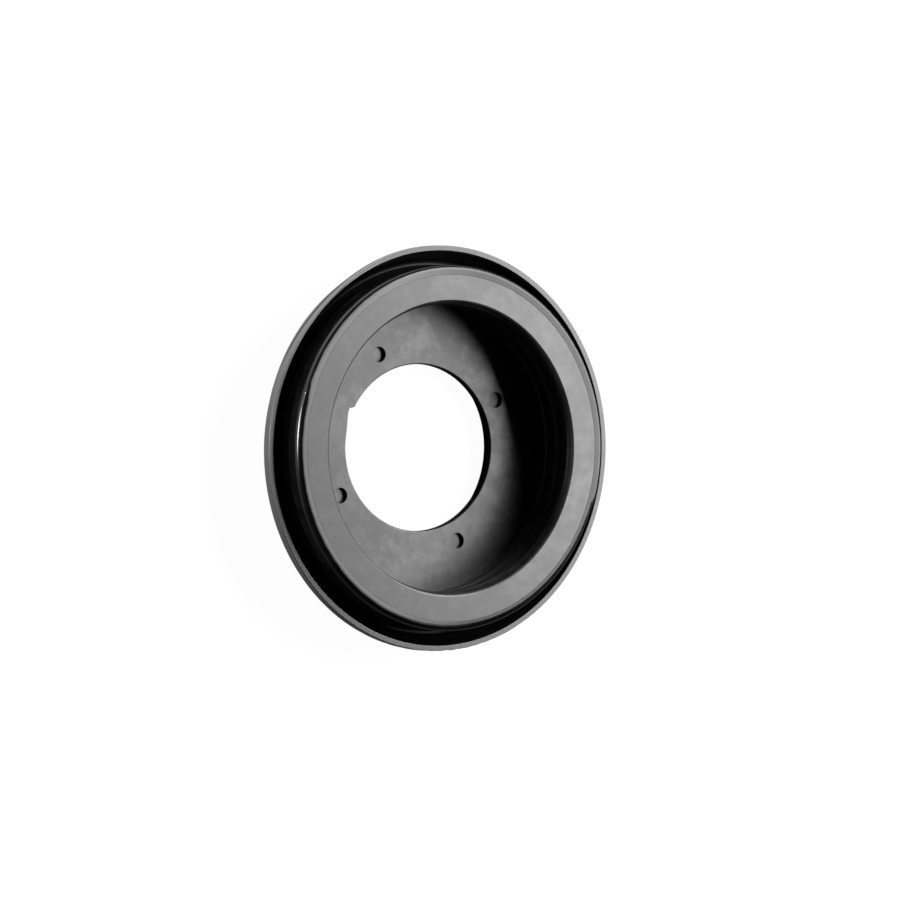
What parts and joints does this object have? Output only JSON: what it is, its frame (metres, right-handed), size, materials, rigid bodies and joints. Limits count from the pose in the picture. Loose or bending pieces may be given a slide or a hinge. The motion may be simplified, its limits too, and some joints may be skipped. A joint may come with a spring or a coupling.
{
  "type": "toilet flange",
  "caption": "Black rubber drain flange with a ribbed socket, a round outlet in its floor, and a bowl-shaped skirt whose groove takes a pipe end.",
  "frame": {"origin": "centre of the flat back, on the surface that the flange lies on", "axes": "+Z along the drain's axis and out of the mouth of the socket; X along the mould's parting line, midway between two locating holes"},
  "size_m": [0.12, 0.12, 0.023],
  "materials": {
    "black_rubber": "satin moulded",
    "primed_steel": "dull bonding primer"
  },
  "bodies": {
    "root": {"rim_skirt": "black_rubber", "cup_sleeve": "black_rubber", "socket_ring": "black_rubber", "floor_disc": "black_rubber", "stiffener_ring": "primed_steel"}
  },
  "joints": []
}
